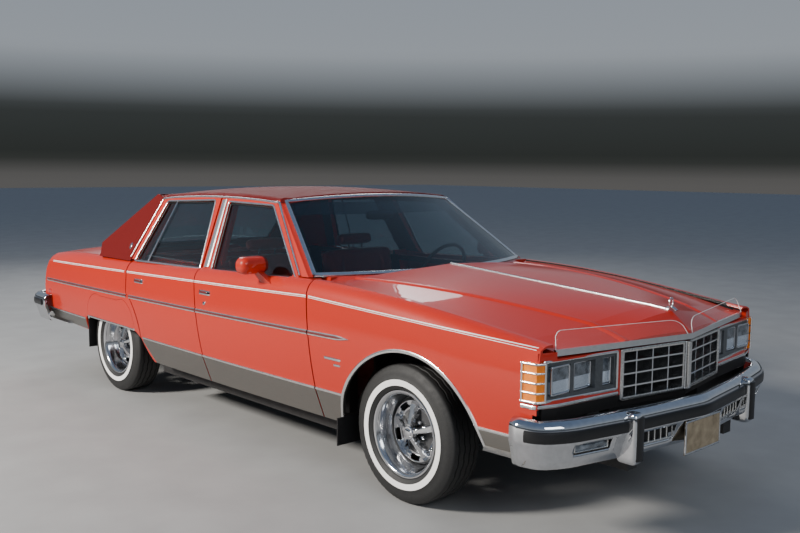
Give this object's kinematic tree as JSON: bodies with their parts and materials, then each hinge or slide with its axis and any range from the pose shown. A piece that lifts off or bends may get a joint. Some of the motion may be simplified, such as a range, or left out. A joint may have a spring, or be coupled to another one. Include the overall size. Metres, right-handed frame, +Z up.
{
  "type": "full-size car, four-door sedan",
  "caption": "Full-size sedan with opening doors, hood and trunk lid, steered front wheels, split egg-crate grille, chrome bumpers and a vinyl-covered roof.",
  "frame": {"origin": "on the ground below the middle of the car", "axes": "+X to the car's left, +Y to its rear, +Z up"},
  "size_m": [2.104, 5.4436, 1.4481],
  "materials": {
    "paint": "orange-red gloss body paint",
    "vinyl": "grained vinyl roof covering",
    "chrome": "bright plated",
    "grille_plate": "bright die-cast egg crate",
    "glass": "tinted safety glass",
    "lamp_glass": "clear fluted lamp glass",
    "lamp_grey": "satin grey housing",
    "amber": "amber lamp plastic",
    "lamp_red": "red lamp plastic",
    "rubber": "black rubber",
    "tyre": "black tyre with a white band",
    "wheel_steel": "bright steel wheel",
    "black_steel": "black chassis paint",
    "cast": "bare castings",
    "cloth": "red seat cloth",
    "trim_plastic": "red cabin trim",
    "plate": "blank plate"
  },
  "bodies": {
    "body": {"body_floor": "paint", "roof": "vinyl", "windshield": "glass", "rear_window": "glass", "side_frames": "paint", "rear_body": "paint", "fender_skirts": "paint", "fenders": "paint", "header_panel": "paint", "grille": "grille_plate", "lamp_bezels": "lamp_grey", "headlamps": "lamp_glass", "corner_lamps": "amber", "tail_lamps": "lamp_red", "front_bumper": "chrome", "rear_bumper": "chrome", "bumper_strips": "rubber", "plate_holder": "plate", "chassis_frame": "black_steel", "engine_block": "cast", "radiator": "black_steel", "front_suspension": "black_steel", "rear_axle": "cast", "fuel_tank": "black_steel", "exhaust": "wheel_steel", "mud_flaps": "rubber", "front_seat": "cloth", "rear_seat": "cloth", "dashboard": "trim_plastic"},
    "hood": {"hood": "paint", "hood_moulding": "chrome"},
    "trunk_lid": {"trunk_lid": "paint"},
    "steering_wheel": {"steering_wheel": "trim_plastic"},
    "front_door_left": {"front_door_left": "paint", "front_door_glass_left": "glass"},
    "rear_door_left": {"rear_door_left": "paint", "rear_door_glass_left": "glass"},
    "knuckle_left": {"knuckle_left": "cast"},
    "wheel_front_left": {"rim_front_left": "wheel_steel", "tyre_front_left": "tyre"},
    "wheel_rear_left": {"rim_rear_left": "wheel_steel", "tyre_rear_left": "tyre"},
    "front_door_right": {"front_door_right": "paint", "front_door_glass_right": "glass"},
    "rear_door_right": {"rear_door_right": "paint", "rear_door_glass_right": "glass"},
    "knuckle_right": {"knuckle_right": "cast"},
    "wheel_front_right": {"rim_front_right": "wheel_steel", "tyre_front_right": "tyre"},
    "wheel_rear_right": {"rim_rear_right": "wheel_steel", "tyre_rear_right": "tyre"}
  },
  "joints": [
    {"name": "steer_left", "type": "hinge", "parent": "body", "child": "knuckle_left", "pos_m": [0.69, -1.64, 0.332], "axis": [0, 0, 1], "range_deg": [-32, 32]},
    {"name": "wheel_front_left_spin", "type": "hinge", "parent": "knuckle_left", "child": "wheel_front_left", "pos_m": [0.783, -1.64, 0.332], "axis": [1, 0, 0], "continuous": true},
    {"name": "wheel_rear_left_spin", "type": "hinge", "parent": "body", "child": "wheel_rear_left", "pos_m": [0.775, 1.304, 0.332], "axis": [1, 0, 0], "continuous": true},
    {"name": "front_door_left_hinge", "type": "hinge", "parent": "body", "child": "front_door_left", "pos_m": [0.93, -0.964, 0.675], "axis": [0, 0, -1], "range_deg": [0, 66]},
    {"name": "rear_door_left_hinge", "type": "hinge", "parent": "body", "child": "rear_door_left", "pos_m": [0.938, 0.128, 0.675], "axis": [0, 0, -1], "range_deg": [0, 66]},
    {"name": "steer_right", "type": "hinge", "parent": "body", "child": "knuckle_right", "pos_m": [-0.69, -1.64, 0.332], "axis": [0, 0, 1], "range_deg": [-32, 32]},
    {"name": "wheel_front_right_spin", "type": "hinge", "parent": "knuckle_right", "child": "wheel_front_right", "pos_m": [-0.783, -1.64, 0.332], "axis": [1, 0, 0], "continuous": true},
    {"name": "wheel_rear_right_spin", "type": "hinge", "parent": "body", "child": "wheel_rear_right", "pos_m": [-0.775, 1.304, 0.332], "axis": [1, 0, 0], "continuous": true},
    {"name": "front_door_right_hinge", "type": "hinge", "parent": "body", "child": "front_door_right", "pos_m": [-0.93, -0.964, 0.675], "axis": [0, 0, 1], "range_deg": [0, 66]},
    {"name": "rear_door_right_hinge", "type": "hinge", "parent": "body", "child": "rear_door_right", "pos_m": [-0.938, 0.128, 0.675], "axis": [0, 0, 1], "range_deg": [0, 66]},
    {"name": "hood_hinge", "type": "hinge", "parent": "body", "child": "hood", "pos_m": [0, -0.925, 0.965], "axis": [-1, 0, 0], "range_deg": [0, 50]},
    {"name": "trunk_lid_hinge", "type": "hinge", "parent": "body", "child": "trunk_lid", "pos_m": [0, 1.6, 0.915], "axis": [1, 0, 0], "range_deg": [0, 65]},
    {"name": "steering_wheel_turn", "type": "hinge", "parent": "body", "child": "steering_wheel", "pos_m": [0.385, -0.655, 0.925], "axis": [0, 0.9135, 0.4067], "range_deg": [-480, 480]}
  ],
  "couplings": [
    {"joint": "steer_right", "follows": "steer_left", "ratio": 1},
    {"joint": "steering_wheel_turn", "follows": "steer_left", "ratio": 15}
  ]
}
